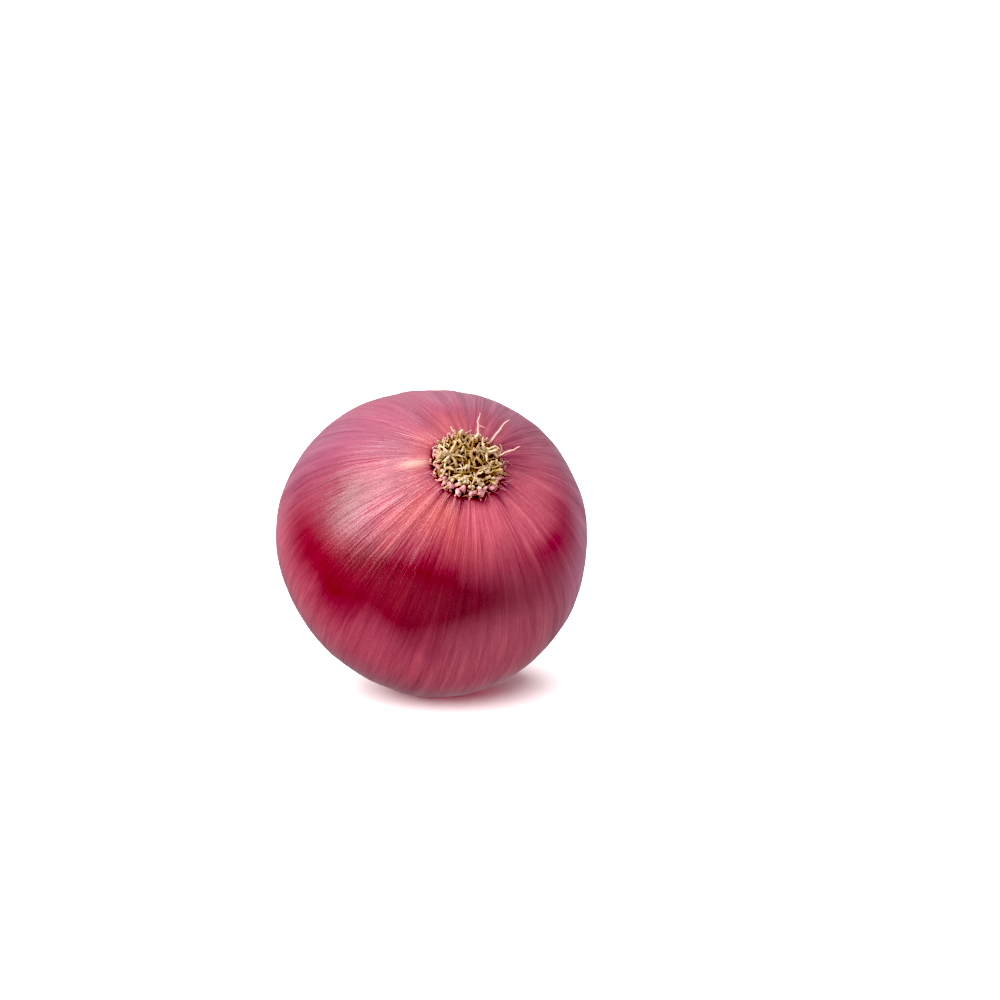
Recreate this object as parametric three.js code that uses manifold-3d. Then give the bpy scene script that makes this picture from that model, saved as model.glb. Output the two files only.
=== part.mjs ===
// A red onion lying on a table: its root end looks up and forward, and its dry neck is bent
// level with the table behind it. Millimetres, +Z up. The origin is the middle of the small flat
// spot that the bulb rests on, and the onion's own axis lies in the YZ plane.
//
// Each piece is made in the onion's own frame, neck up along +Z, with its widest ring around
// the origin. The group at the end lays it down.

import * as THREE from 'three';
import { mergeVertices } from 'three/addons/utils/BufferGeometryUtils.js';
import Module from 'manifold-3d';

const wasm = await Module();
wasm.setup();

// Driving dimensions.
const BULB_RADIUS = 38.4; // at the widest ring
const AXIS_TILT = THREE.MathUtils.degToRad(43); // of the root end above the table
const FLAT_DEPTH = 0.8; // how much of the round side the flat spot takes off
const TWO_LOBES = 0.006; // the bulb is never quite round: its soft lobes, as shares of the radius
const THREE_LOBES = 0.014;

const GAP = 0.3; // left between pieces that touch
const BULB_SEGMENTS = 64;
const BULB_ROWS = 44;

// The bulb's outline as [height, radius] in shares of BULB_RADIUS, from the seat of the root
// plate, over the lip of skin around it, the full round side and the shoulder, to the neck.
const SEAT_HEIGHT = 0.93;
const BULB_OUTLINE = [
  [-SEAT_HEIGHT, 0],
  [-SEAT_HEIGHT, 0.19],
  [-0.946, 0.235],
  [-0.932, 0.29],
  [-0.896, 0.38],
  [-0.806, 0.55],
  [-0.637, 0.755],
  [-0.37, 0.925],
  [-0.06, 0.997],
  [0.21, 0.973],
  [0.465, 0.868],
  [0.68, 0.7],
  [0.825, 0.505],
  [0.92, 0.335],
  [1.01, 0.235],
  [1.14, 0.195],
  [1.3, 0.195],
];
// The torn mouth of the neck, from the rim back in to the axis.
const MOUTH_OUTLINE = [
  [1.31, 0.17],
  [1.285, 0.135],
  [1.24, 0.09],
  [1.225, 0],
];

const NECK_START = 0.8 * BULB_RADIUS; // where the shoulder begins to draw in
const NECK_END = 1.3 * BULB_RADIUS;
const BEND_START = 0.96 * BULB_RADIUS; // where its axis begins to bend away from the table
const BEND_RADIUS = 15;
const NECK_SPREAD = 0.3; // wider across the table at the rim, by this share
const NECK_FLATTENING = 0.34; // and thinner the other way
const RAGGED_RIM = 1.7; // how far the rim's longest shred stands out

const PLATE_RADIUS = 8.0; // the corky plate that the roots grow from
const PLATE_THICKNESS = 2.2;
const PLATE_DOME = 0.9; // how far its middle stands above its edge
const PLATE_BACK = SEAT_HEIGHT * BULB_RADIUS + GAP; // its distance from the widest ring

const ROOT_COUNT = 42; // short dry stubs, in sunflower order on the plate
const ROOT_FIELD_RADIUS = 7.2;
const ROOT_RADIUS = 0.5; // at the base
const ROOT_LENGTH = 3.4;
const ROOT_SIDES = 6;
const GOLDEN_ANGLE = Math.PI * (3 - Math.sqrt(5));

// The few roots that were not broken off short, by their place in that order: length, and in
// degrees how far each leans over, how far it curls further over (or back) on its way, and how
// far it veers around the axis from straight outwards.
const LONG_ROOTS = new Map([
  [31, { length: 7.8, lean: 66, curl: -18, veer: -23 }],
  [39, { length: 8.2, lean: 70, curl: -14, veer: -3 }],
  [34, { length: 7.2, lean: 54, curl: 20, veer: -8 }],
]);
const LONG_ROOT_RADIUS = 0.35;

const COLOURS = {
  skin: { color: 0x9c2440, roughness: 0.38 },
  cork: { color: 0x8a7440, roughness: 0.9 },
  root: { color: 0xc6ad7c, roughness: 0.8 },
};

const smooth = THREE.MathUtils.smoothstep;

// A repeatable number from 0 to 1 for each whole number and salt.
function scatter(n, salt) {
  const s = Math.sin(n * 12.9898 + salt * 78.233) * 43758.5453;
  return s - Math.floor(s);
}

function profile(outline, count) {
  const points = outline.map(([height, radius]) => new THREE.Vector2(radius, height));
  const curve = new THREE.SplineCurve(points);
  const sampled = curve.getSpacedPoints(count);
  return sampled.map((p) => new THREE.Vector2(Math.max(p.x, 0), p.y).multiplyScalar(BULB_RADIUS));
}

// A closed lathe with its axis along Z. The first and the last point lie on the axis.
function turned(points, segments) {
  points[0].x = 0;
  points[points.length - 1].x = 0;
  return new THREE.LatheGeometry(points, segments).rotateX(Math.PI / 2);
}

function warp(geometry, move) {
  const position = geometry.getAttribute('position');
  const p = new THREE.Vector3();
  for (let i = 0; i < position.count; i++) {
    p.fromBufferAttribute(position, i);
    move(p);
    position.setXYZ(i, p.x, p.y, p.z);
  }
  return geometry;
}

function toSolid(geometry) {
  const bare = geometry.clone();
  bare.deleteAttribute('normal');
  bare.deleteAttribute('uv');
  const merged = mergeVertices(bare, 1e-3);
  return new wasm.Manifold(
    new wasm.Mesh({
      numProp: 3,
      vertProperties: merged.attributes.position.array,
      triVerts: new Uint32Array(merged.index.array),
    }),
  );
}

function toGeometry(solid) {
  const mesh = solid.getMesh();
  const geometry = new THREE.BufferGeometry();
  geometry.setAttribute('position', new THREE.BufferAttribute(mesh.vertProperties, 3));
  geometry.setIndex(new THREE.BufferAttribute(mesh.triVerts, 1));
  geometry.computeVertexNormals();
  return geometry;
}

// How much further out than round the bulb's side is, at a turn around its axis.
function swell(around) {
  return 1 + TWO_LOBES * Math.cos(2 * around - 1.1) - THREE_LOBES * Math.sin(3 * around);
}

function addLobes(p) {
  const share = swell(Math.atan2(p.y, p.x));
  p.x *= share;
  p.y *= share;
}

// The dry neck ends in an uneven tear.
function tearRim(p) {
  const share = smooth(p.z, NECK_START, NECK_END);
  const around = Math.atan2(p.y, p.x);
  const tear = 0.5 * Math.sin(2 * around + 0.4) + 0.32 * Math.sin(5 * around) + 0.18 * Math.sin(9 * around);
  p.z += RAGGED_RIM * tear * share * share;
}

// The neck is pressed flat, and its axis bends away from the table on an arc.
function foldNeck(p) {
  const share = smooth(p.z, NECK_START, NECK_END);
  p.x *= 1 + NECK_SPREAD * share;
  p.y *= 1 - NECK_FLATTENING * share;
  if (p.z <= BEND_START) return;
  const angle = (p.z - BEND_START) / BEND_RADIUS;
  const across = p.y + BEND_RADIUS;
  p.set(p.x, across * Math.cos(angle) - BEND_RADIUS, BEND_START + across * Math.sin(angle));
}

// Where the side that is turned down comes lowest, as its drop below the axis's middle and its
// place along Y.
function restingPoint() {
  const cos = Math.cos(AXIS_TILT);
  const sin = Math.sin(AXIS_TILT);
  const underside = swell(Math.PI / 2);
  let best = { drop: 0, along: 0 };
  for (const point of profile(BULB_OUTLINE, 800)) {
    const radius = underside * point.x;
    const height = point.y;
    const drop = radius * cos + height * sin;
    if (height < NECK_START && drop > best.drop) best = { drop, along: height * cos - radius * sin };
  }
  return best;
}

function layDown(group) {
  const { drop, along } = restingPoint();
  group.rotation.x = -(Math.PI / 2 + AXIS_TILT);
  group.position.set(0, -along, drop - FLAT_DEPTH);
  group.updateMatrix();
}

// The bulb and the skin drawn out into its neck are one piece. The plane of the table cuts the
// flat spot.
function makeBulb(lying) {
  const outline = [...profile(BULB_OUTLINE, BULB_ROWS), ...profile(MOUTH_OUTLINE, 5)];
  const body = warp(turned(outline, BULB_SEGMENTS), (p) => {
    addLobes(p);
    tearRim(p);
    foldNeck(p);
  });
  const depth = 60;
  const table = new THREE.BoxGeometry(300, 300, depth).translate(0, 0, -depth / 2);
  table.applyMatrix4(lying.matrix.clone().invert());
  return toGeometry(toSolid(body).subtract(toSolid(table)));
}

// How far the plate's outer face stands below the widest ring, at a distance from the axis.
function plateFace(distance) {
  const share = distance / PLATE_RADIUS;
  return PLATE_BACK + PLATE_THICKNESS - PLATE_DOME * share * share;
}

function makePlate() {
  const rim = PLATE_RADIUS;
  const face = [0.9, 0.6, 0.3, 0].map((share) => new THREE.Vector2(share * rim, -plateFace(share * rim)));
  const points = [
    ...face.reverse(),
    new THREE.Vector2(rim, -PLATE_BACK - 0.45 * PLATE_THICKNESS),
    new THREE.Vector2(0.93 * rim, -PLATE_BACK),
    new THREE.Vector2(0, -PLATE_BACK),
  ];
  return warp(turned(points, 40), (p) => {
    const around = Math.atan2(p.y, p.x);
    const uneven = 1 + 0.035 * Math.sin(5 * around + 1) + 0.02 * Math.sin(11 * around);
    p.x *= uneven;
    p.y *= uneven;
  });
}

// A dry root: a tapered stub along a curve that leaves the plate leaning outwards and curls
// on its way. `turn` is its place around the axis and `distance` its place from it.
function makeRoot({ turn, distance, length, lean, curl, veer, radius, steps }) {
  const out = new THREE.Vector3(Math.cos(turn + veer), Math.sin(turn + veer), 0);
  const down = new THREE.Vector3(0, 0, -1);
  const base = new THREE.Vector3(Math.cos(turn), Math.sin(turn), 0).multiplyScalar(distance);
  base.z = -plateFace(distance) - GAP - radius * Math.sin(lean);
  const heading = (angle) =>
    new THREE.Vector3().addScaledVector(down, Math.cos(angle)).addScaledVector(out, Math.sin(angle));
  const middle = base.clone().addScaledVector(heading(lean), length * 0.5);
  const tip = middle.clone().addScaledVector(heading(lean + curl), length * 0.5);
  const path = new THREE.QuadraticBezierCurve3(base, middle, tip);

  const side = new THREE.Vector3().crossVectors(out, down);
  const stub = new THREE.CylinderGeometry(radius * 0.55, radius, 1, ROOT_SIDES, steps);
  return warp(stub, (p) => {
    const at = THREE.MathUtils.clamp(p.y + 0.5, 0, 1);
    const along = path.getTangent(at);
    const up = new THREE.Vector3().crossVectors(side, along);
    p.copy(path.getPoint(at).addScaledVector(side, p.x).addScaledVector(up, p.z));
  });
}

function rootShapes() {
  return Array.from({ length: ROOT_COUNT }, (_, n) => {
    const share = Math.sqrt((n + 0.5) / ROOT_COUNT);
    const place = { turn: n * GOLDEN_ANGLE, distance: ROOT_FIELD_RADIUS * share };
    const long = LONG_ROOTS.get(n);
    if (long) {
      return {
        ...place,
        length: long.length,
        lean: THREE.MathUtils.degToRad(long.lean),
        curl: THREE.MathUtils.degToRad(long.curl),
        veer: THREE.MathUtils.degToRad(long.veer),
        radius: LONG_ROOT_RADIUS,
        steps: 9,
      };
    }
    return {
      ...place,
      length: ROOT_LENGTH * (0.75 + 0.5 * scatter(n, 1)),
      lean: THREE.MathUtils.degToRad(8 + 44 * share * share),
      curl: THREE.MathUtils.degToRad(24 * (scatter(n, 2) - 0.3)),
      veer: 0,
      radius: ROOT_RADIUS * (0.85 + 0.3 * scatter(n, 3)),
      steps: 4,
    };
  });
}

function add(group, name, geometry, colour) {
  const material = new THREE.MeshStandardMaterial({ ...COLOURS[colour], metalness: 0 });
  const mesh = new THREE.Mesh(geometry, material);
  mesh.name = name;
  group.add(mesh);
}

const numbered = (n) => String(n + 1).padStart(2, '0');

const onion = new THREE.Group();
const lying = new THREE.Group();
layDown(lying);
onion.add(lying);

add(lying, 'bulb', makeBulb(lying), 'skin');
add(lying, 'root_plate', makePlate(), 'cork');
rootShapes().forEach((shape, n) => add(lying, `root_${numbered(n)}`, makeRoot(shape), 'root'));

export default onion;
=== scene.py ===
"""A red onion on a plain pale floor: a fine bulb with its papery neck, and a tuft of dry roots."""

import math

import bpy
import numpy as np
from mathutils import Matrix, Vector


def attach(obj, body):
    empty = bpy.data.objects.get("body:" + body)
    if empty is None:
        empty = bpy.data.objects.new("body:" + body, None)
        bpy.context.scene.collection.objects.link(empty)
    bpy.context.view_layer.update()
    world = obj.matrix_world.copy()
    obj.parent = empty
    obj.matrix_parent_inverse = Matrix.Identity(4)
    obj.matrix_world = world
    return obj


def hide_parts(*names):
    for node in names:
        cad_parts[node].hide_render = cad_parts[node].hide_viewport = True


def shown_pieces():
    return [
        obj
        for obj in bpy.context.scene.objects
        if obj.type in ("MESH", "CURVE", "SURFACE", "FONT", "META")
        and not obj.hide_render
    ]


MM = 0.001
SEED = 7
GOLDEN_ANGLE = math.pi * (3 - math.sqrt(5))
TEXTURE_UNIT = 0.1  # the patterns of the root end count in centimetres
HASH_STEPS = (374761393, 668265263, 2147483647)  # large odd numbers that scramble a cell's place
HASH_MIX = 1274126177

# The onion's own frame, in millimetres: its axis is Z, the neck points up it, and the widest
# ring is around the origin. These are the CAD part's driving dimensions.
BULB_RADIUS = 38.4
AXIS_TILT = math.radians(43)
FLAT_DEPTH = 0.8
TWO_LOBES = 0.006  # how far the rings are from round, as shares of their radius
THREE_LOBES = 0.014
SEAT_HEIGHT = 0.93  # of the root plate's seat below the widest ring, in bulb radii
BULB_OUTLINE = [  # heights and radii, in bulb radii, from the root end to the neck's edge
    (-SEAT_HEIGHT, 0.0),
    (-SEAT_HEIGHT, 0.19),
    (-0.946, 0.235),
    (-0.932, 0.29),
    (-0.896, 0.38),
    (-0.806, 0.55),
    (-0.637, 0.755),
    (-0.37, 0.925),
    (-0.06, 0.997),
    (0.21, 0.973),
    (0.465, 0.868),
    (0.68, 0.7),
    (0.825, 0.505),
    (0.92, 0.335),
    (1.01, 0.235),
    (1.14, 0.195),
    (1.3, 0.195),
]
MOUTH_OUTLINE = [(1.31, 0.17), (1.285, 0.135), (1.24, 0.09), (1.225, 0.0)]
RAGGED_RIM = 1.7  # how far the tear at the neck's edge goes up and down
NECK_START = 0.8 * BULB_RADIUS
NECK_END = 1.3 * BULB_RADIUS
BEND_START = 0.96 * BULB_RADIUS
BEND_RADIUS = 15.0
NECK_SPREAD = 0.3
NECK_FLATTENING = 0.34

PLATE_RADIUS = 8.0
PLATE_THICKNESS = 2.2
PLATE_DOME = 0.9
PLATE_BACK = SEAT_HEIGHT * BULB_RADIUS + 0.3

ROOT_COUNT = 42
ROOT_FIELD_RADIUS = 7.2
LONG_ROOTS = {  # length, then lean, curl and veer in degrees
    31: (7.8, 66, -18, -23),
    39: (8.2, 70, -14, -3),
    34: (7.2, 54, 20, -8),
}
FIBRE_COUNT = 150
FIBRE_FIELD_RADIUS = 7.6
STARS = [(-5.0, -1.4), (4.1, -1.4)]  # where longer strands spread out from, over the others
STRANDS_PER_STAR = 9
NUB_COUNT = 26
CLUMP_COUNT = 19
LUMPS_PER_CLUMP = 4
COLLAR_COUNT = 90
WHISKER_COUNT = 34
LOW_SIDE = math.radians(110)  # the turn at which the tuft's lower edge is

BULB_COLUMNS = 400
BULB_ROWS = 340
MOUTH_ROWS = 36

CAMERA_AZIMUTH = math.radians(-19)
CAMERA_ELEVATION = math.radians(13)
CAMERA_LENS = 135.0
FRAME_WIDTH = 0.2463  # what the picture spans at the onion
ONION_OFFSET = (-0.0161, -0.0095)  # of the onion from the picture's middle: right, up

BULB_CENTRE_HEIGHT = 0.038  # above the floor, in metres as the rest of the stage is
FLOOR_HALF_WIDTH = 3.0
BACKDROP_RADIUS = 1.7
BACKDROP_DEPTH = 1.5
STUDIO_TINT = (1.0, 0.95, 1.0)
WORLD_BRIGHT = 0.85  # how bright the studio looks from the onion
WORLD_DIM = 0.4
GROUND_IN_FRONT = 2.0  # and how bright the ground looks from it
GROUND_BEHIND = 0.6
KEY_POWER = 15.2
TOP_POWER = 4.0
WASH_STRENGTH = 10.6
WASH_ELEVATION = math.radians(62)
WASH_SOFTNESS = math.radians(115)  # how wide the wash looks from the floor
WASH_LEFTWARDS = 1.8  # how far it comes from the left, as a multiple of how far from the front
GLOW_STRENGTH = 0.36
GLOW_COLOUR = (1.0, 0.3, 0.3)
BLACK_LEVEL = 0.073  # the tone curve's black point, which deepens the picture's contrast


# ---------------------------------------------------------------- numbers


def smoothstep(value, low, high):
    """A smooth step from 0 to 1 between two values."""
    share = np.clip((value - low) / (high - low), 0.0, 1.0)
    return share * share * (3 - 2 * share)


def lattice_noise(points, seed):
    """Smooth noise from -1 to 1 at each row of an (..., 3) array, one bump per unit."""
    cell = np.floor(points).astype(np.int64)
    inside = points - cell
    weight = inside * inside * inside * (inside * (inside * 6 - 15) + 10)
    total = np.zeros(points.shape[:-1])
    for corner in np.ndindex(2, 2, 2):
        at = cell + np.array(corner)
        mixed = sum(at[..., axis] * HASH_STEPS[axis] for axis in range(3))
        mixed = (mixed + seed * HASH_MIX) & 0xFFFFFFFF
        mixed = ((mixed ^ (mixed >> 13)) * HASH_MIX) & 0xFFFFFFFF
        value = ((mixed ^ (mixed >> 16)) & 0xFFFFFF) / float(0xFFFFFF) * 2 - 1
        share = np.ones_like(total)
        for axis in range(3):
            side = weight[..., axis]
            share = share * (side if corner[axis] else 1 - side)
        total += value * share
    return total


def around_noise(turn, along, count, stretch, seed):
    """Noise that closes up around the axis: about `count` bumps around, long ones along it."""
    radius = count / (2 * math.pi)
    points = np.stack([radius * np.cos(turn), radius * np.sin(turn), along * stretch], axis=-1)
    return lattice_noise(points, seed)


def spline(points, per_segment=24):
    """A Catmull-Rom curve through 2-D points."""
    points = np.array(points, float)
    last = len(points) - 1
    out = []
    for i in range(last):
        start, end = points[i], points[i + 1]
        slope_in = (end - points[max(i - 1, 0)]) / 2
        slope_out = (points[min(i + 2, last)] - start) / 2
        cubic = 2 * start - 2 * end + slope_in + slope_out
        square = -3 * start + 3 * end - 2 * slope_in - slope_out
        for t in np.arange(per_segment) / per_segment:
            out.append(cubic * t**3 + square * t**2 + slope_in * t + start)
    out.append(points[last])
    return np.array(out)


def evenly(curve, count):
    """The curve's points again, evenly spaced along its length."""
    steps = np.linalg.norm(np.diff(curve, axis=0), axis=1)
    length = np.concatenate([[0], np.cumsum(steps)])
    wanted = np.linspace(0, length[-1], count)
    return np.stack([np.interp(wanted, length, curve[:, i]) for i in range(curve.shape[1])], axis=1)


# ---------------------------------------------------------------- the onion's own frame


def swell(turn):
    """The bulb's radius at a turn around its axis, as a multiple of the plain one."""
    return 1 + TWO_LOBES * np.cos(2 * turn - 1.1) - THREE_LOBES * np.sin(3 * turn)


def tear_rim(p, turn):
    """Ends the dry neck in an uneven tear."""
    share = smoothstep(p[..., 2], NECK_START, NECK_END)
    level = share * 0
    tear = 0.5 * np.sin(2 * turn + 0.4) + 0.32 * np.sin(5 * turn) + 0.18 * np.sin(9 * turn)
    tear = tear + 0.55 * around_noise(turn, level, 40, 1.0, 11)
    tear = tear + 0.25 * around_noise(turn, level, 110, 1.0, 12)
    p = p.copy()
    p[..., 2] += RAGGED_RIM * tear * share**2
    return p


def fold_neck(p):
    """Flattens the neck and bends it away from the table."""
    p = p.copy()
    share = smoothstep(p[..., 2], NECK_START, NECK_END)
    p[..., 0] *= 1 + NECK_SPREAD * share
    p[..., 1] *= 1 - NECK_FLATTENING * share
    angle = np.maximum(p[..., 2] - BEND_START, 0) / BEND_RADIUS
    across = p[..., 1] + BEND_RADIUS
    bent = angle > 0
    p[..., 1] = np.where(bent, across * np.cos(angle) - BEND_RADIUS, p[..., 1])
    p[..., 2] = np.where(bent, BEND_START + across * np.sin(angle), p[..., 2])
    return p


def tilt(p):
    """Turns points from the onion's own frame to the way it lies, still in millimetres."""
    angle = -(math.pi / 2 + AXIS_TILT)
    y = p[..., 1] * math.cos(angle) - p[..., 2] * math.sin(angle)
    z = p[..., 1] * math.sin(angle) + p[..., 2] * math.cos(angle)
    return np.stack([p[..., 0], y, z], axis=-1)


def resting_offset():
    """How far the tilted onion moves so that its flat spot is at the origin."""
    outline = spline(BULB_OUTLINE) * BULB_RADIUS
    outline = outline[outline[:, 0] < NECK_START]
    underside = np.zeros((len(outline), 3))
    underside[:, 1] = outline[:, 1] * swell(math.pi / 2)
    underside[:, 2] = outline[:, 0]
    lowest = min(tilt(underside), key=lambda p: p[2])
    return np.array([0, -lowest[1], -lowest[2] - FLAT_DEPTH])


def place(p):
    """Points of the onion's own frame, in metres where the onion lies."""
    return (tilt(p) + resting_offset()) * MM


# ---------------------------------------------------------------- meshes


def mesh_object(name, vertices, faces, attributes=None):
    """A smooth object in the scene. Its attributes hold a number or a vector for each vertex."""
    mesh = bpy.data.meshes.new(name)
    mesh.from_pydata(vertices.reshape(-1, 3).tolist(), [], faces)
    for key, values in (attributes or {}).items():
        flat = np.asarray(values, np.float32)
        if flat.ndim == vertices.ndim and flat.shape[-1] == 3:
            mesh.attributes.new(key, "FLOAT_VECTOR", "POINT").data.foreach_set("vector", flat.ravel())
        else:
            mesh.attributes.new(key, "FLOAT", "POINT").data.foreach_set("value", flat.ravel())
    mesh.shade_smooth()
    mesh.update()
    obj = bpy.data.objects.new(name, mesh)
    bpy.context.scene.collection.objects.link(obj)
    return obj


def tube_faces(rows, columns, first=0):
    """Quads of a grid of rows that each close around."""
    faces = []
    for row in range(rows - 1):
        here = first + row * columns
        for column in range(columns):
            after = (column + 1) % columns
            faces.append((here + column, here + after, here + columns + after, here + columns + column))
    return faces


def outward(points):
    """Unit normals of a grid whose rows close around the axis."""
    wrapped = np.concatenate([points[:, -1:], points, points[:, :1]], axis=1)
    across = np.gradient(wrapped, axis=1)[:, 1:-1]
    along = np.gradient(points, axis=0)
    normal = np.cross(across, along)
    return normal / np.maximum(np.linalg.norm(normal, axis=-1, keepdims=True), 1e-9)


# ---------------------------------------------------------------- the bulb


def bulb_rows():
    """The outline as heights and radii in millimetres, one for each row of the mesh."""
    side = evenly(spline(BULB_OUTLINE), BULB_ROWS - MOUTH_ROWS)
    mouth = evenly(spline(MOUTH_OUTLINE), MOUTH_ROWS)
    outline = np.concatenate([side, mouth]) * BULB_RADIUS
    return outline[:, 0], np.maximum(outline[:, 1], 0.01)


def crease(noise):
    """Smooth noise made into rounded folds with sharp valleys between them."""
    return 2 * np.abs(noise) - 0.7


def bulb_relief(turn, height, latitude):
    """How far the skin stands out of its plain shape, in millimetres."""
    near_root = 1 - smoothstep(latitude, 0.30, 0.75)
    neck = smoothstep(height, NECK_START, 1.1 * BULB_RADIUS)
    body = smoothstep(latitude, 0.28, 0.6) * (1 - neck)
    relief = 0.16 * body * around_noise(turn, latitude, 26, 0.9, 1)
    relief += 0.11 * body * around_noise(turn, latitude, 62, 1.2, 2)
    relief += 0.03 * body * around_noise(turn, latitude, 190, 2.0, 3)
    relief += 0.11 * near_root * around_noise(turn, latitude, 60, 2.5, 4)
    relief += 0.07 * near_root * around_noise(turn, latitude, 120, 5.0, 5)
    relief += 0.7 * neck * crease(around_noise(turn + 0.4 * latitude, latitude, 17, 1.6, 6))
    relief += 0.4 * neck * crease(around_noise(turn + 0.3 * latitude, latitude, 38, 3.0, 7))
    relief += 0.2 * neck * crease(around_noise(turn, latitude, 80, 9.0, 8))
    return relief


def make_bulb():
    """The bulb in its skin with the neck, whose torn mouth the last rows close."""
    heights, radii = bulb_rows()
    turn = np.linspace(0, 2 * math.pi, BULB_COLUMNS, endpoint=False)
    turn, height = np.meshgrid(turn, heights)
    radius = radii[:, None] * swell(turn)
    shape = np.stack([radius * np.cos(turn), radius * np.sin(turn), height], axis=-1)
    latitude = np.arctan2(radius, -height)
    shape = shape + outward(shape) * bulb_relief(turn, height, latitude)[..., None]
    points = place(fold_neck(tear_rim(shape, turn)))
    points[..., 2] = np.maximum(points[..., 2], 0.0)
    attributes = {
        "around": np.stack([np.cos(turn), np.sin(turn), latitude], axis=-1),
    }
    attributes.update(skin_masks(turn, height, latitude))
    bulb = mesh_object("onion_bulb", points, tube_faces(BULB_ROWS, BULB_COLUMNS), attributes)
    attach(bulb, "root")
    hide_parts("bulb")
    bulb.data.materials.append(skin_material())


# Where the skin's colour is special: (turn, latitude from the root, half-widths of both), in
# degrees, and strength. SKIN_TINTS has the colours. The paler haze near the top and the lilac near the right
# rim are painted reflection, not the skin's own colour.
SKIN_PATCHES = {
    "dusty": [(46, 26, 20, 10, 1.0), (85, 22, 24, 8, 1.0), (42, 38, 30, 7, 0.9)],
    "salmon": [(128, 22, 12, 8, 1.0), (146, 38, 4, 9, 0.6), (215, 17, 45, 5, 0.6), (104, 33, 16, 6, 0.5)],
    "cream": [(190, 19, 5, 3.5, 0.8)],
    "pale": [(72, 76, 20, 12, 1.0), (110, 92, 45, 9, 1.0), (158, 34, 14, 6, 0.8)],
    "mauve": [(214, 64, 20, 22, 1.0)],
    # Painted reflection: a paler, greyer pink near the top limb, where the skin mirrors the bright studio
    # above.
    "painted_top_haze": [(288, 40, 48, 9, 1.0)],
    # Painted reflection: lilac near the right limb, where the rim mirrors the pale studio.
    "painted_rim_lilac": [(8, 60, 16, 14, 1.0), (36, 76, 12, 12, 0.7)],
    "magenta": [(40, 50, 20, 6, 0.8), (190, 36, 10, 6, 0.5)],
    "crimson": [
        (112, 51, 18, 8, 1.0),
        (84, 56, 20, 6, 0.5),
        (136, 58, 16, 9, 0.9),
        (154, 70, 9, 13, 0.8),
        (122, 66, 12, 8, 0.5),
        (176, 70, 12, 8, 0.8),
        (178, 47, 10, 9, 0.9),
    ],
}


def patch_mask(patches, turn, latitude):
    """How strongly soft oval patches show at each place of the skin, from 0 to 1."""
    total = np.zeros_like(turn)
    for centre, height, wide, tall, strength in patches:
        apart = (np.degrees(turn) - centre + 180) % 360 - 180
        lift = np.degrees(latitude) - height
        total += strength * np.exp(-0.5 * ((apart / wide) ** 2 + (lift / tall) ** 2))
    return np.clip(total, 0, 1)


def skin_masks(turn, height, latitude):
    """Where each colour of the skin shows. Around the root plate a dark mask paints the skin's own dark rays
    together with painted shade under the pink lumps, strongest on the lower side.
    """
    wander = 0.14 * around_noise(turn, latitude, 14, 2.0, 21)
    wander += 0.07 * around_noise(turn, latitude, 40, 1.2, 24)
    masks = {
        name: patch_mask(patches, turn + wander, latitude + 0.5 * wander)
        for name, patches in SKIN_PATCHES.items()
    }
    masks["neck"] = smoothstep(height, 0.85 * BULB_RADIUS, 1.1 * BULB_RADIUS)
    masks["rim"] = smoothstep(height, 1.16 * BULB_RADIUS, 1.3 * BULB_RADIUS)
    # Dark rays around the root plate, strongest on the lower side: partly the skin's own streaks, partly
    # painted shade under the pink lumps there.
    rays = 0.30 + 0.08 * around_noise(turn, latitude, 60, 0.5, 22)
    rays += 0.06 * around_noise(turn, latitude, 150, 0.5, 23)
    low_side = 0.55 + 0.45 * np.cos(turn - LOW_SIDE)
    masks["root_rays_and_painted_shade"] = 0.7 * low_side * (1 - smoothstep(latitude, rays - 0.1, rays + 0.04))
    return masks


# ---------------------------------------------------------------- the root end


def plate_height(distance):
    """Height of the root plate's outer face at a distance from the axis. It is below the ring."""
    return -(PLATE_BACK + PLATE_THICKNESS - PLATE_DOME * (distance / PLATE_RADIUS) ** 2)


def make_plate():
    """The corky disc that the roots grow from, with its edge turned back to the bulb."""
    rows, columns = 70, 150
    share = np.linspace(0.0, 1.0, rows)
    turn = np.linspace(0, 2 * math.pi, columns, endpoint=False)
    turn, share = np.meshgrid(turn, share)
    distance = np.clip(share / 0.86, 0.002, 1) * PLATE_RADIUS * 0.99
    height = plate_height(distance) + smoothstep(share, 0.86, 1.0) * 0.8 * PLATE_THICKNESS
    points = np.stack([distance * np.cos(turn), distance * np.sin(turn), height], axis=-1)
    points[..., 2] -= 0.35 * lattice_noise(points * 0.9, 31) + 0.22 * lattice_noise(points * 2.2, 32)
    points[:, ::-1] = points.copy()
    attributes = {"at": points * TEXTURE_UNIT}
    plate = mesh_object("onion_root_plate", place(points), tube_faces(rows, columns), attributes)
    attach(plate, "root")
    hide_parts("root_plate")
    plate.data.materials.append(cork_material())


def heading(turn, lean):
    """The direction of a root that leans over from straight out of the plate."""
    return np.array([math.cos(turn) * math.sin(lean), math.sin(turn) * math.sin(lean), -math.cos(lean)])


def wander_path(rng, start, direction, length, curl, steps):
    """A path that sets off in a direction, curls at random and stays above the plate."""
    points = [np.array(start, float)]
    bend = rng.normal(0, 1, 3)
    for _ in range(steps):
        bend = 0.75 * bend + 0.6 * rng.normal(0, 1, 3)
        direction = direction + curl * bend / steps
        direction = direction / np.linalg.norm(direction)
        point = points[-1] + direction * length / steps
        distance = np.hypot(point[0], point[1])
        if distance < PLATE_RADIUS:
            point[2] = min(point[2], plate_height(distance) - 0.1)
        points.append(point)
    return np.array(points)


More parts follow.
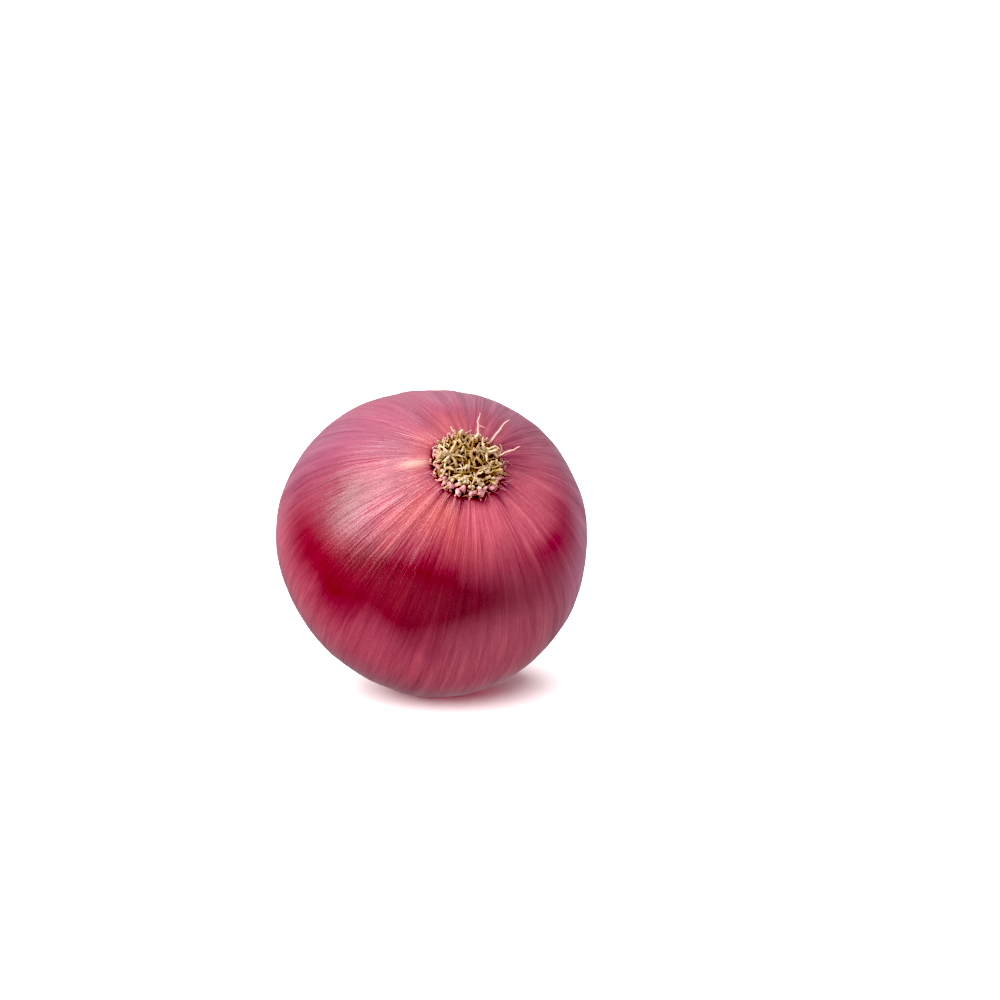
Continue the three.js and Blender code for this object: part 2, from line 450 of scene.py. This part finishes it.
def strand(path, radii, flatness, sides):
    """Rings of points around a path. A flatness under 1 makes a ribbon of it."""
    tangent = np.gradient(path, axis=0)
    tangent /= np.linalg.norm(tangent, axis=1, keepdims=True)
    side = np.cross(tangent[0], (0.3, 0.2, 0.93))
    rings = []
    for centre, along, radius in zip(path, tangent, radii):
        side = side - along * np.dot(side, along)
        side = side / np.linalg.norm(side)
        over = np.cross(along, side)
        angles = np.arange(sides) * 2 * math.pi / sides
        ring = np.outer(np.cos(angles), side) + np.outer(np.sin(angles), over) * flatness
        rings.append(centre + radius * ring)
    return np.array(rings)


def broken_off(rng, rows, base, tip):
    """Radii of a knotty strand with a blunt end."""
    radii = np.linspace(base, tip, rows) * (1 + 0.12 * rng.uniform(-1, 1, rows))
    radii[-1] = 0.02
    return radii


def rounded_off(rows, radius):
    """Radii of a stub with a round end."""
    end = np.clip((np.linspace(0, 1, rows) - 0.4) / 0.6, 0, 0.999)
    return radius * np.sqrt(1 - end**2)


class Tangle:
    """Many strands gathered into one mesh."""

    def __init__(self):
        self.points = []
        self.faces = []
        self.tone = []
        self.reach = []
        self.count = 0

    def add(self, path, radii, tone, flatness=0.8, sides=8):
        """Adds a strand. Its tone goes to the material, and so does the reach from its base."""
        rows = len(path)
        rings = strand(path, radii, flatness, sides)
        self.faces += tube_faces(rows, sides, self.count)
        self.points.append(rings.reshape(-1, 3))
        self.tone.append(np.full(rows * sides, tone))
        self.reach.append(np.repeat(np.linspace(0, 1, rows), sides))
        self.count += rows * sides

    def finish(self, name):
        points = np.concatenate(self.points)
        attributes = {
            "tone": np.concatenate(self.tone),
            "reach": np.concatenate(self.reach),
            "at": points * TEXTURE_UNIT,
        }
        return mesh_object(name, place(points), self.faces, attributes)


def field_place(n, count, radius):
    """Place n of an even sunflower pattern: its turn and distance from the axis."""
    return n * GOLDEN_ANGLE, radius * math.sqrt((n + 0.5) / count)


def on_plate(turn, distance, lift):
    """The point over the root plate at a turn and a distance from the axis."""
    height = plate_height(distance) - lift
    return np.array([distance * math.cos(turn), distance * math.sin(turn), height])


def add_stubs(tangle, rng):
    """The thick roots that broke off short, where the CAD part has them."""
    for n in range(ROOT_COUNT):
        if n in LONG_ROOTS:
            continue
        turn, distance = field_place(n, ROOT_COUNT, ROOT_FIELD_RADIUS)
        lean = math.radians(8 + 44 * (distance / ROOT_FIELD_RADIUS) ** 2) + rng.normal(0, 0.22)
        direction = heading(turn + rng.normal(0, 0.4), lean)
        path = wander_path(rng, on_plate(turn, distance, -0.4), direction, rng.uniform(2.6, 4.4), 2.0, 10)
        radii = broken_off(rng, 11, rng.uniform(0.42, 0.58), rng.uniform(0.24, 0.38))
        tangle.add(path, radii, rng.uniform(0, 1))


def add_fibres(tangle, rng):
    """Thin curly fibres between the stubs."""
    for n in range(FIBRE_COUNT):
        turn, distance = field_place(n, FIBRE_COUNT, FIBRE_FIELD_RADIUS)
        turn = turn + 0.7
        direction = heading(turn + rng.normal(0, 1.2), abs(rng.normal(0.75, 0.35)))
        start = on_plate(turn, distance, -0.3)
        path = wander_path(rng, start, direction, rng.uniform(2.2, 4.6), 3.4, 12)
        tangle.add(path, broken_off(rng, 13, rng.uniform(0.18, 0.34), 0.12), rng.uniform(0, 1))


def add_stars(tangle, rng):
    """Longer pale strands that lie over the others and spread out from a few places."""
    for x, y in STARS:
        first = rng.uniform(0, 1)
        for n in range(STRANDS_PER_STAR):
            turn = (n + first) * 2 * math.pi / STRANDS_PER_STAR + rng.normal(0, 0.18)
            start = on_plate(math.atan2(y, x), math.hypot(x, y), 2.0)
            direction = heading(turn, math.radians(rng.uniform(72, 92)))
            path = wander_path(rng, start, direction, rng.uniform(2.8, 4.6), 1.2, 12)
            tangle.add(path, broken_off(rng, 13, 0.36, 0.16), rng.uniform(0.7, 1.1), 0.6)


def add_nubs(tangle, rng):
    """Pale round stubs, mostly along the lower edge."""
    for n in range(NUB_COUNT):
        turn = LOW_SIDE + rng.normal(0, 0.9)
        distance = rng.uniform(4.4, 7.4)
        direction = heading(turn, math.radians(rng.uniform(15, 60)))
        start = on_plate(turn, distance, 0.4)
        path = wander_path(rng, start, direction, rng.uniform(1.0, 2.0), 0.6, 9)
        tangle.add(path, rounded_off(10, rng.uniform(0.38, 0.58)), rng.uniform(0.7, 1.2), 0.9)


def add_long_roots(tangle, rng):
    """The few long roots that bend out over the skin, each with a side branch."""
    for n, (length, lean, curl, veer) in LONG_ROOTS.items():
        turn, distance = field_place(n, ROOT_COUNT, ROOT_FIELD_RADIUS)
        way = turn + math.radians(veer)
        start = on_plate(turn, distance, 0.0)
        middle = start + heading(way, math.radians(lean)) * length * 0.5
        last = middle + heading(way, math.radians(lean + curl)) * length * 0.5
        t = np.linspace(0, 1, 20)[:, None]
        path = start * (1 - t) ** 2 + 2 * middle * t * (1 - t) + last * t**2
        shake = np.stack([lattice_noise(path * 0.8 + shift, 41) for shift in (0, 9.5, 23.1)], axis=1)
        path = path + 0.5 * shake * t
        tangle.add(path, broken_off(rng, 20, 0.36, 0.11), 1.3)
        branch = wander_path(rng, path[9], heading(way + 0.6, math.radians(lean - 8)), length * 0.24, 1.2, 8)
        tangle.add(branch, broken_off(rng, 9, 0.13, 0.06), 1.4)


def make_roots():
    rng = np.random.default_rng(SEED)
    tangle = Tangle()
    add_stubs(tangle, rng)
    add_fibres(tangle, rng)
    add_stars(tangle, rng)
    add_nubs(tangle, rng)
    add_long_roots(tangle, rng)
    roots = tangle.finish("onion_roots")
    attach(roots, "root")
    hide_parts(*[f"root_{n + 1:02d}" for n in range(ROOT_COUNT)])
    roots.data.materials.append(root_material())


def add_clumps(tangle, rng):
    """Fleshy pink lumps of the outer root bases, largest along the lower edge."""
    for n in range(CLUMP_COUNT):
        turn = n * 2 * math.pi / CLUMP_COUNT + rng.normal(0, 0.08)
        low_side = float(smoothstep(math.cos(turn - LOW_SIDE), 0.0, 0.8))
        for _ in range(LUMPS_PER_CLUMP):
            way = turn + rng.normal(0, 0.09)
            start = on_plate(way, rng.uniform(7.0, 7.8), -0.9)
            veered = way + rng.normal(0, 0.35)
            direction = heading(veered, math.radians(rng.uniform(25, 60) + 25 * low_side))
            length = rng.uniform(1.0, 1.6) + 0.9 * low_side
            path = wander_path(rng, start, direction, length, 1.6, 9)
            radius = rng.uniform(0.3, 0.45) + 0.25 * low_side
            tangle.add(path, rounded_off(10, radius), low_side + rng.normal(0, 0.15), 0.75)


def add_collar(tangle, rng):
    """Short dry scraps that close the seam between the plate and the skin."""
    for n in range(COLLAR_COUNT):
        turn = n * 2 * math.pi / COLLAR_COUNT + rng.normal(0, 0.03)
        distance = rng.uniform(8.0, 8.8)
        start = np.array([distance * math.cos(turn), distance * math.sin(turn), -PLATE_BACK - 0.1])
        direction = heading(turn + rng.normal(0, 0.4), math.radians(rng.uniform(-10, 60)))
        path = wander_path(rng, start, direction, rng.uniform(1.0, 2.0), 1.6, 8)
        tangle.add(path, broken_off(rng, 9, 0.36, 0.2), rng.uniform(0.3, 0.9), 0.6)


def add_whiskers(tangle, rng):
    """Hair-thin threads over the skin around the plate, mostly on one side of its lower edge."""
    for n in range(WHISKER_COUNT):
        turn = rng.normal(0.6, 0.8)
        start = on_plate(turn, 8.0, -0.9)
        direction = heading(turn, math.radians(rng.uniform(76, 92)))
        path = wander_path(rng, start, direction, rng.uniform(1.8, 4.0), 0.7, 10)
        tangle.add(path, broken_off(rng, 11, 0.09, 0.05), 1.4, 1.0, 5)


def make_shreds():
    """What is left of the outer root bases and the skin around the edge of the plate."""
    rng = np.random.default_rng(SEED + 1)
    tangle = Tangle()
    add_clumps(tangle, rng)
    add_collar(tangle, rng)
    add_whiskers(tangle, rng)
    shreds = tangle.finish("onion_root_shreds")
    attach(shreds, "root")
    shreds.data.materials.append(shred_material())


# ---------------------------------------------------------------- materials


def feed(tree, socket, value):
    """Gives a node's input a constant, or another node's output."""
    if isinstance(value, bpy.types.NodeSocket):
        tree.links.new(value, socket)
    else:
        socket.default_value = value


class Finish:
    """A material under construction: short calls that add nodes around one Principled shader."""

    def __init__(self, name, **principled):
        self.material = bpy.data.materials.new(name)
        self.material.use_nodes = True
        self.tree = self.material.node_tree
        self.nodes = self.tree.nodes
        self.links = self.tree.links
        self.shader = self.nodes["Principled BSDF"]
        for key, value in principled.items():
            self.shader.inputs[key.replace("_", " ")].default_value = value

    def surface(self, name, value):
        """Feeds one of the shader's inputs."""
        feed(self.tree, self.shader.inputs[name], value)

    def attribute(self, name, output="Fac"):
        node = self.nodes.new("ShaderNodeAttribute")
        node.attribute_name = name
        return node.outputs[output]

    def stretched(self, vector, scale):
        node = self.nodes.new("ShaderNodeMapping")
        self.links.new(vector, node.inputs["Vector"])
        node.inputs["Scale"].default_value = scale
        return node.outputs["Vector"]

    def noise(self, vector, scale=1.0, detail=3.0, roughness=0.55):
        node = self.nodes.new("ShaderNodeTexNoise")
        self.links.new(vector, node.inputs["Vector"])
        node.inputs["Scale"].default_value = scale
        node.inputs["Detail"].default_value = detail
        node.inputs["Roughness"].default_value = roughness
        return node.outputs["Fac"]

    def band(self, value, low, high, out_low=0.0, out_high=1.0):
        """A smooth change from one output to another between two values."""
        node = self.nodes.new("ShaderNodeMapRange")
        node.interpolation_type = "SMOOTHSTEP"
        feed(self.tree, node.inputs["Value"], value)
        node.inputs["From Min"].default_value = low
        node.inputs["From Max"].default_value = high
        node.inputs["To Min"].default_value = out_low
        node.inputs["To Max"].default_value = out_high
        return node.outputs["Result"]

    def math(self, operation, a, b):
        node = self.nodes.new("ShaderNodeMath")
        node.operation = operation
        feed(self.tree, node.inputs[0], a)
        feed(self.tree, node.inputs[1], b)
        return node.outputs[0]

    def mix(self, factor, a, b, blend="MIX"):
        node = self.nodes.new("ShaderNodeMix")
        node.data_type = "RGBA"
        node.blend_type = blend
        feed(self.tree, node.inputs["Factor"], factor)
        feed(self.tree, node.inputs["A"], a)
        feed(self.tree, node.inputs["B"], b)
        return node.outputs["Result"]

    def bump(self, height, distance, normal=None):
        node = self.nodes.new("ShaderNodeBump")
        node.inputs["Distance"].default_value = distance
        self.links.new(height, node.inputs["Height"])
        if normal is not None:
            self.links.new(normal, node.inputs["Normal"])
        return node.outputs["Normal"]


def rgb(red, green, blue):
    """A linear colour from the 0 to 255 values that a screen shows."""
    channels = [c / 255 for c in (red, green, blue)]
    linear = [c / 12.92 if c <= 0.04045 else ((c + 0.055) / 1.055) ** 2.4 for c in channels]
    return (*linear, 1.0)


SKIN_TINTS = {  # in the order that they are laid over one another
    "mauve": (118, 66, 84),
    # Painted reflection haze near the top limb.
    "painted_top_haze": (136, 80, 96),
    "pale": (144, 66, 78),
    # Painted lilac reflection on the right rim.
    "painted_rim_lilac": (166, 100, 122),
    "dusty": (186, 98, 110),
    "salmon": (162, 80, 80),
    "magenta": (136, 12, 48),
    "crimson": (100, 20, 32),
    "cream": (184, 146, 128),
}


def skin_material():
    """Satin skin: patches of colour under streaks, lines and hairlines from root to neck. The haze and lilac
    patches are painted reflection, and the dark rays around the root plate carry painted shade.
    """
    finish = Finish("onion_skin", Specular_IOR_Level=0.42, Coat_Weight=0.1, Coat_Roughness=0.2)
    around = finish.attribute("around", "Vector")
    object_at = finish.nodes.new("ShaderNodeTexCoord").outputs["Object"]

    wide = finish.noise(finish.stretched(around, (2.2, 2.2, 1.6)), detail=2)
    streaks = finish.noise(finish.stretched(around, (12, 12, 1.1)), detail=3)
    lines = finish.noise(finish.stretched(around, (42, 42, 2.0)), detail=3, roughness=0.6)
    hairlines = finish.noise(finish.stretched(around, (110, 110, 5.0)), detail=2, roughness=0.7)
    grain = finish.noise(object_at, scale=1400, detail=2)

    colour = finish.mix(finish.band(wide, 0.35, 0.65), rgb(126, 50, 66), rgb(138, 62, 78))
    for name, tint in SKIN_TINTS.items():
        colour = finish.mix(finish.attribute(name), colour, rgb(*tint))
    neck = finish.attribute("neck")
    colour = finish.mix(neck, colour, rgb(138, 36, 54))
    colour = finish.mix(finish.attribute("rim"), colour, rgb(134, 44, 56))
    colour = finish.mix(finish.band(streaks, 0.5, 0.75, 0, 0.6), colour, (0.62, 0.4, 0.5, 1), "MULTIPLY")
    colour = finish.mix(finish.band(streaks, 0.5, 0.25, 0, 0.6), colour, (1.35, 1.5, 1.4, 1), "MULTIPLY")
    colour = finish.mix(finish.band(lines, 0.5, 0.75, 0, 0.5), colour, (1.3, 1.7, 1.5, 1), "MULTIPLY")
    colour = finish.mix(finish.band(lines, 0.5, 0.3, 0, 0.4), colour, (0.75, 0.5, 0.6, 1), "MULTIPLY")
    colour = finish.mix(finish.band(hairlines, 0.35, 0.65), colour, (0.88, 0.78, 0.84, 1), "MULTIPLY")
    colour = finish.mix(finish.band(grain, 0.4, 0.7, 0, 0.5), colour, (1.15, 1.3, 1.25, 1), "MULTIPLY")
    # Dark purple around the root plate: the skin's own rays together with painted shade under the pink
    # lumps.
    colour = finish.mix(finish.attribute("root_rays_and_painted_shade"), colour, rgb(84, 16, 44))
    neck_lines = finish.math("MULTIPLY", neck, finish.band(lines, 0.46, 0.58))
    colour = finish.mix(neck_lines, colour, rgb(170, 84, 90))
    finish.surface("Base Color", colour)
    finish.surface("Roughness", finish.band(streaks, 0.3, 0.7, 0.32, 0.4))

    ridges = finish.bump(lines, 0.0002)
    fine = finish.bump(hairlines, 0.00005, ridges)
    finish.surface("Normal", finish.bump(grain, 0.00001, fine))
    return finish.material


def cork_material():
    """Dull brown cork with paler specks."""
    finish = Finish("root_cork", Roughness=0.9, Specular_IOR_Level=0.2)
    at = finish.attribute("at", "Vector")
    lumps = finish.noise(at, scale=9, detail=4)
    specks = finish.noise(at, scale=30, detail=3, roughness=0.7)
    colour = finish.mix(finish.band(lumps, 0.4, 0.62), rgb(112, 88, 54), rgb(142, 116, 78))
    colour = finish.mix(finish.band(specks, 0.5, 0.7, 0, 0.7), colour, rgb(160, 134, 92))
    finish.surface("Base Color", colour)
    finish.surface("Roughness", finish.band(specks, 0.3, 0.7, 0.8, 1.0))
    finish.surface("Normal", finish.bump(specks, 0.0004))
    return finish.material


def root_material():
    """Dry root: dark at its base, pale at its broken end, and paler the higher its tone."""
    finish = Finish("root_fibre", Specular_IOR_Level=0.3)
    tone = finish.attribute("tone")
    reach = finish.attribute("reach")
    at = finish.attribute("at", "Vector")
    fibres = finish.noise(at, scale=26, detail=4, roughness=0.65)
    colour = finish.mix(finish.band(tone, 0.0, 0.4), rgb(150, 122, 76), rgb(174, 148, 114))
    colour = finish.mix(finish.band(tone, 0.4, 1.0), colour, rgb(202, 180, 152))
    colour = finish.mix(finish.band(tone, 1.1, 1.4), colour, rgb(216, 168, 160))
    colour = finish.mix(finish.band(reach, 0.0, 0.45, 0.7, 0), colour, rgb(118, 90, 58))
    colour = finish.mix(finish.band(reach, 0.7, 1.0, 0, 0.5), colour, rgb(206, 178, 148))
    colour = finish.mix(finish.band(fibres, 0.48, 0.7, 0, 0.5), colour, rgb(136, 102, 82))
    finish.surface("Base Color", colour)
    finish.surface("Roughness", finish.band(fibres, 0.3, 0.7, 0.65, 0.9))
    finish.surface("Normal", finish.bump(fibres, 0.0002))
    return finish.material


def shred_material():
    """Scraps and lumps of root base: straw where the tone is low and pink where it is high."""
    finish = Finish("root_shred", Specular_IOR_Level=0.3)
    tone = finish.attribute("tone")
    reach = finish.attribute("reach")
    at = finish.attribute("at", "Vector")
    blots = finish.noise(at, scale=14, detail=4)
    colour = finish.mix(finish.band(tone, 0.2, 0.8), rgb(176, 146, 114), rgb(196, 146, 142))
    colour = finish.mix(finish.band(tone, 1.2, 1.4), colour, rgb(206, 152, 154))
    colour = finish.mix(finish.band(reach, 0.0, 0.5, 0.7, 0), colour, rgb(112, 62, 66))
    colour = finish.mix(finish.band(blots, 0.42, 0.62, 0, 0.6), colour, rgb(168, 114, 128))
    finish.surface("Base Color", colour)
    finish.surface("Roughness", finish.band(blots, 0.3, 0.7, 0.55, 0.85))
    finish.surface("Normal", finish.bump(blots, 0.0002))
    return finish.material


def floor_material():
    finish = Finish("floor_white", Roughness=0.6, Specular_IOR_Level=0.2)
    at = finish.nodes.new("ShaderNodeTexCoord").outputs["Object"]
    mottle = finish.noise(at, scale=14, detail=2)
    colour = finish.mix(mottle, rgb(228, 227, 227), rgb(232, 232, 232))
    finish.surface("Base Color", colour)
    return finish.material


# ---------------------------------------------------------------- stage, light and camera


def as_stage(obj):
    """Gives an object the pale floor finish and hides it from diffuse and glossy rays. It throws no light
    back: the world's ground does that.
    """
    obj.data.materials.append(floor_material())
    obj.visible_diffuse = False
    obj.visible_glossy = False
    return obj


def make_floor():
    half = FLOOR_HALF_WIDTH
    corners = np.array([(-half, -half, 0), (half, -half, 0), (half, half, 0), (-half, half, 0)])
    return as_stage(mesh_object("floor", corners, [(0, 1, 2, 3)]))


def make_backdrop():
    """The studio's pale sweep, which rises all around, far from the onion. It has no shadow."""
    rows, columns = 24, 96
    share = np.linspace(0, 1, rows)
    turn = np.linspace(0, 2 * math.pi, columns, endpoint=False)
    turn, share = np.meshgrid(turn, share)
    radius = BACKDROP_RADIUS + BACKDROP_DEPTH * share
    height = smoothstep(share, 0, 1) + 0.002
    points = np.stack([radius * np.cos(turn), radius * np.sin(turn), height], axis=-1)
    backdrop = as_stage(mesh_object("backdrop", points, tube_faces(rows, columns)))
    backdrop.visible_shadow = False
    return backdrop


def camera_axes():
    """Which way right, up and back to the camera are in the picture."""
    level = math.cos(CAMERA_ELEVATION)
    sideways, forwards = math.sin(CAMERA_AZIMUTH), math.cos(CAMERA_AZIMUTH)
    back = Vector((sideways * level, -forwards * level, math.sin(CAMERA_ELEVATION)))
    right = Vector((forwards, sideways, 0))
    return right, back.cross(right), back


def make_camera(centre):
    """The camera, far enough away for its lens to span the frame width at the onion."""
    right, up, back = camera_axes()
    aim = centre - right * ONION_OFFSET[0] - up * ONION_OFFSET[1]
    camera = bpy.data.objects.new("camera", bpy.data.cameras.new("camera"))
    camera.data.lens = CAMERA_LENS
    distance = FRAME_WIDTH * CAMERA_LENS / camera.data.sensor_width
    camera.location = aim + back * distance
    camera.rotation_euler = back.to_track_quat("Z", "Y").to_euler()
    bpy.context.scene.collection.objects.link(camera)
    bpy.context.scene.camera = camera


def add_softbox(name, centre, direction, long_axis, distance, size, power):
    """A softbox that faces the onion. Its direction and its long side's are right, up, back."""
    axes = camera_axes()
    towards = sum((axis * share for axis, share in zip(axes, direction)), Vector()).normalized()
    along = sum((axis * share for axis, share in zip(axes, long_axis)), Vector())
    along = (along - towards * along.dot(towards)).normalized()
    light = bpy.data.lights.new(name, "AREA")
    light.shape = "RECTANGLE"
    light.size, light.size_y = size
    light.energy = power
    lamp = bpy.data.objects.new(name, light)
    lamp.matrix_world = Matrix((along, towards.cross(along), towards)).transposed().to_4x4()
    lamp.location = centre + towards * distance
    bpy.context.scene.collection.objects.link(lamp)
    return lamp


def light_only(lamp, objects):
    """Keeps the lamp's light, and so its shadow, off everything but these objects."""
    receivers = bpy.data.collections.new(lamp.name + "_receivers")
    for obj in objects:
        receivers.objects.link(obj)
    lamp.light_linking.receiver_collection = receivers


def make_world():
    """A pale studio over a ground, brightest in front, that lights the onion from below."""
    right, _, back = camera_axes()
    world = bpy.data.worlds.new("studio")
    world.use_nodes = True
    tree = world.node_tree
    nodes, links = tree.nodes, tree.links
    direction = nodes.new("ShaderNodeTexCoord").outputs["Generated"]

    def ramp(axis, start, end, value_start, value_end):
        """A brightness that changes from one value to another along an axis."""
        along = nodes.new("ShaderNodeVectorMath")
        along.operation = "DOT_PRODUCT"
        links.new(direction, along.inputs[0])
        along.inputs[1].default_value = axis.normalized()
        node = nodes.new("ShaderNodeMapRange")
        node.interpolation_type = "SMOOTHSTEP"
        links.new(along.outputs["Value"], node.inputs["Value"])
        node.inputs["From Min"].default_value = start
        node.inputs["From Max"].default_value = end
        feed(tree, node.inputs["To Min"], value_start)
        feed(tree, node.inputs["To Max"], value_end)
        return node.outputs["Result"]

    down = Vector((0, 0, -1))
    studio = ramp(back * 0.35 + right * 0.1 + down * 0.93, -0.9, 0.4, WORLD_BRIGHT, WORLD_DIM)
    ground = ramp(back * 0.94 + right * 0.34, -0.7, 0.7, GROUND_BEHIND, GROUND_IN_FRONT)
    links.new(ramp(down, 0.0, 0.06, studio, ground), nodes["Background"].inputs["Strength"])
    nodes["Background"].inputs["Color"].default_value = (*STUDIO_TINT, 1)
    bpy.context.scene.world = world


def add_floor_wash(stage):
    """Very soft light from the upper left. It bleaches all the floor but the contact shadow."""
    right, _, back = camera_axes()
    light = bpy.data.lights.new("floor_wash", "SUN")
    light.angle = WASH_SOFTNESS
    light.energy = WASH_STRENGTH
    lamp = bpy.data.objects.new("floor_wash", light)
    level = (Vector((back.x, back.y, 0)).normalized() - right * WASH_LEFTWARDS).normalized()
    towards = level * math.cos(WASH_ELEVATION) + Vector((0, 0, math.sin(WASH_ELEVATION)))
    lamp.rotation_euler = towards.to_track_quat("Z", "Y").to_euler()
    bpy.context.scene.collection.objects.link(lamp)
    light_only(lamp, stage)


def add_shadow_glow(stage):
    """The faint red light that the skin throws into its own shadow on the floor."""
    light = bpy.data.lights.new("shadow_glow", "SUN")
    light.energy = GLOW_STRENGTH
    light.color = GLOW_COLOUR
    light.use_shadow = False
    lamp = bpy.data.objects.new("shadow_glow", light)
    bpy.context.scene.collection.objects.link(lamp)
    light_only(lamp, stage)


def make_lights(centre, onion, stage):
    """Two softboxes light only the onion, and two suns light only the stage."""
    make_world()
    key = add_softbox(
        "key",
        centre,
        direction=(-0.68, 0.53, 0.51),
        long_axis=(0.8, 0.6, 0.0),
        distance=0.75,
        size=(0.88, 0.39),
        power=KEY_POWER,
    )
    light_only(key, onion)
    top = add_softbox(
        "top",
        centre,
        direction=(0.3, 0.9, 0.1),
        long_axis=(1, 0, 0),
        distance=0.9,
        size=(1.3, 1.0),
        power=TOP_POWER,
    )
    light_only(top, onion)
    add_floor_wash(stage)
    add_shadow_glow(stage)


def set_tones():
    """Plain screen colours, with a tone curve that starts at the black level."""
    settings = bpy.context.scene.view_settings
    settings.view_transform = "Standard"
    settings.use_curve_mapping = True
    settings.curve_mapping.black_level = (BLACK_LEVEL,) * 3
    settings.curve_mapping.update()


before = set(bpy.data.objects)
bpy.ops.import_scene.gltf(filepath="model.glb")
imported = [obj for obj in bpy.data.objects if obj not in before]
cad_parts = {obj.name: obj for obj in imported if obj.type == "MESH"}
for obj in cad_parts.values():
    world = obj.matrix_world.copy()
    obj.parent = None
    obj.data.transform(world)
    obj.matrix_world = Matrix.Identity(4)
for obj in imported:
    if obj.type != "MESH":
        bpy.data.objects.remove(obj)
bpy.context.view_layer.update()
set_tones()

make_bulb()
make_plate()
make_roots()
make_shreds()
bulb_centre = Vector((0, 0, BULB_CENTRE_HEIGHT))
make_camera(bulb_centre)
onion = list(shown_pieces())
make_lights(bulb_centre, onion, [make_floor(), make_backdrop()])
